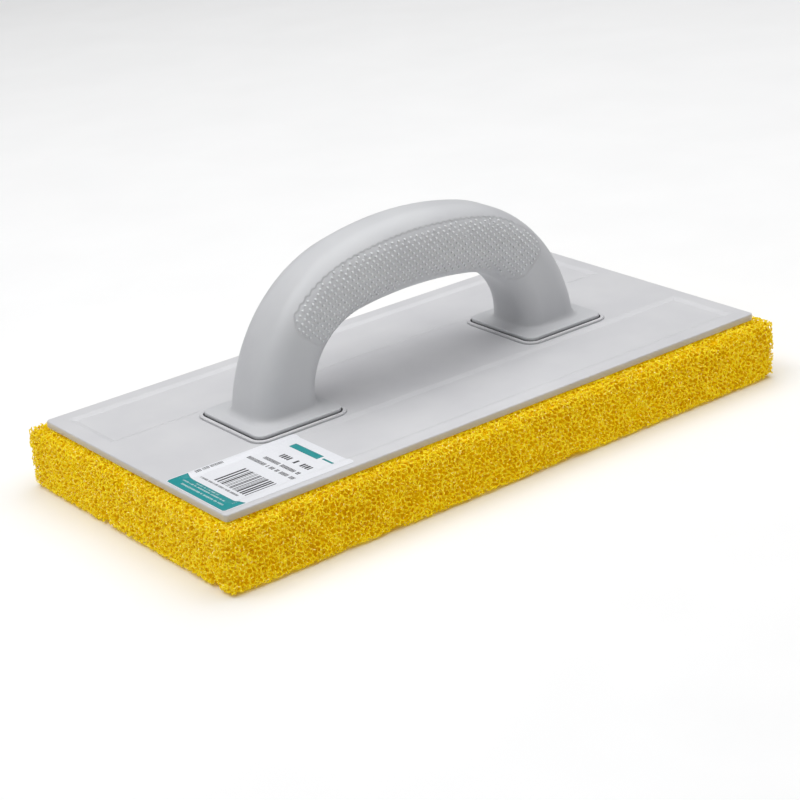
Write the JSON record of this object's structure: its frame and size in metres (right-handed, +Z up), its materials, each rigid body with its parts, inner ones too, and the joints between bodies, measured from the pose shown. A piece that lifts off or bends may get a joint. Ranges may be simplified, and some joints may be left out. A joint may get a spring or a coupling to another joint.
{
  "type": "grout float",
  "caption": "Hand float: moulded plate with an arched, knurled handle screwed on from below and a thick open-cell foam pad bonded under it.",
  "frame": {"origin": "middle of the foam pad's underside, which is the working face the float rests on", "axes": "+Z up through the handle, +X along the float and its handle, +Y across it; the label is at -X, -Y"},
  "size_m": [0.279, 0.142, 0.0956],
  "materials": {
    "plate_plastic": "fine-grained injection moulding, light grey",
    "handle_plastic": "satin structural-foam moulding with knurled grip panels, light grey",
    "screw_steel": "zinc plated",
    "film_adhesive": "clear amber contact adhesive",
    "pad_foam": "coarse open-cell foam, golden yellow",
    "label_paper": "semi-gloss printed paper"
  },
  "bodies": {
    "root": {"base_plate": "plate_plastic", "handle": "handle_plastic", "handle_screws": "screw_steel", "adhesive_film": "film_adhesive", "foam_pad": "pad_foam", "label": "label_paper"}
  },
  "joints": []
}
